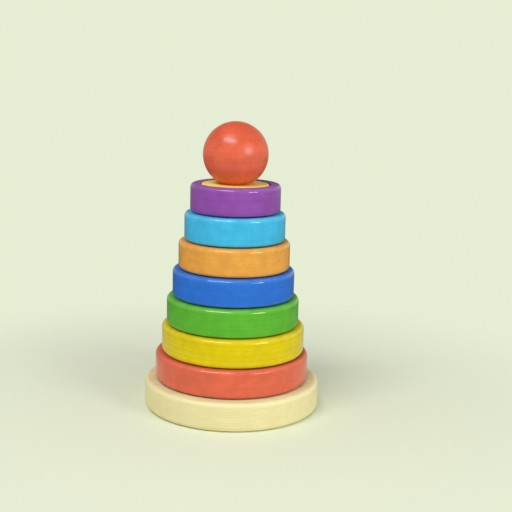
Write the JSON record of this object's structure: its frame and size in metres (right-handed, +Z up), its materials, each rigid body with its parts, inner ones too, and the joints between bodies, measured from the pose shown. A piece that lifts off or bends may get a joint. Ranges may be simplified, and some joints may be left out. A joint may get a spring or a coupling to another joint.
{
  "type": "ring stacking tower",
  "caption": "Wooden stacking toy: round base with a thick post, painted rings that get smaller upwards and a ball that plugs into the post's top.",
  "frame": {"origin": "centre of the base's underside, on the surface that it stands on", "axes": "+Z up along the post; +X to the right and +Y away from someone who faces the toy"},
  "size_m": [0.112, 0.112, 0.1826],
  "materials": {
    "base_wood": "raw, fine grained, sanded",
    "post_wood": "clear lacquer, gloss",
    "peg_wood": "raw",
    "screw_steel": "zinc plated",
    "ball_paint": "satin red paint",
    "ring_red_paint": "satin red paint",
    "ring_yellow_paint": "satin yellow paint",
    "ring_green_paint": "satin green paint",
    "ring_blue_paint": "satin blue paint",
    "ring_orange_paint": "satin orange paint",
    "ring_light_blue_paint": "satin light blue paint",
    "ring_purple_paint": "satin purple paint"
  },
  "bodies": {
    "stand": {"base": "base_wood", "post": "post_wood", "base_screw": "screw_steel"},
    "ring_red": {"ring_red": "ring_red_paint"},
    "ring_yellow": {"ring_yellow": "ring_yellow_paint"},
    "ring_green": {"ring_green": "ring_green_paint"},
    "ring_blue": {"ring_blue": "ring_blue_paint"},
    "ring_orange": {"ring_orange": "ring_orange_paint"},
    "ring_light_blue": {"ring_light_blue": "ring_light_blue_paint"},
    "ring_purple": {"ring_purple": "ring_purple_paint"},
    "ball": {"ball": "ball_paint", "ball_peg": "peg_wood"}
  },
  "joints": [
    {"name": "ring_red_lift", "type": "slide", "parent": "stand", "child": "ring_red", "axis": [0, 0, 1], "range_m": [0, 0.175]},
    {"name": "ring_yellow_lift", "type": "slide", "parent": "ring_red", "child": "ring_yellow", "axis": [0, 0, 1], "range_m": [0, 0.157]},
    {"name": "ring_green_lift", "type": "slide", "parent": "ring_yellow", "child": "ring_green", "axis": [0, 0, 1], "range_m": [0, 0.139]},
    {"name": "ring_blue_lift", "type": "slide", "parent": "ring_green", "child": "ring_blue", "axis": [0, 0, 1], "range_m": [0, 0.121]},
    {"name": "ring_orange_lift", "type": "slide", "parent": "ring_blue", "child": "ring_orange", "axis": [0, 0, 1], "range_m": [0, 0.103]},
    {"name": "ring_light_blue_lift", "type": "slide", "parent": "ring_orange", "child": "ring_light_blue", "axis": [0, 0, 1], "range_m": [0, 0.085]},
    {"name": "ring_purple_lift", "type": "slide", "parent": "ring_light_blue", "child": "ring_purple", "axis": [0, 0, 1], "range_m": [0, 0.067]},
    {"name": "ball_lift", "type": "slide", "parent": "stand", "child": "ball", "axis": [0, 0, 1], "range_m": [0, 0.06]}
  ]
}
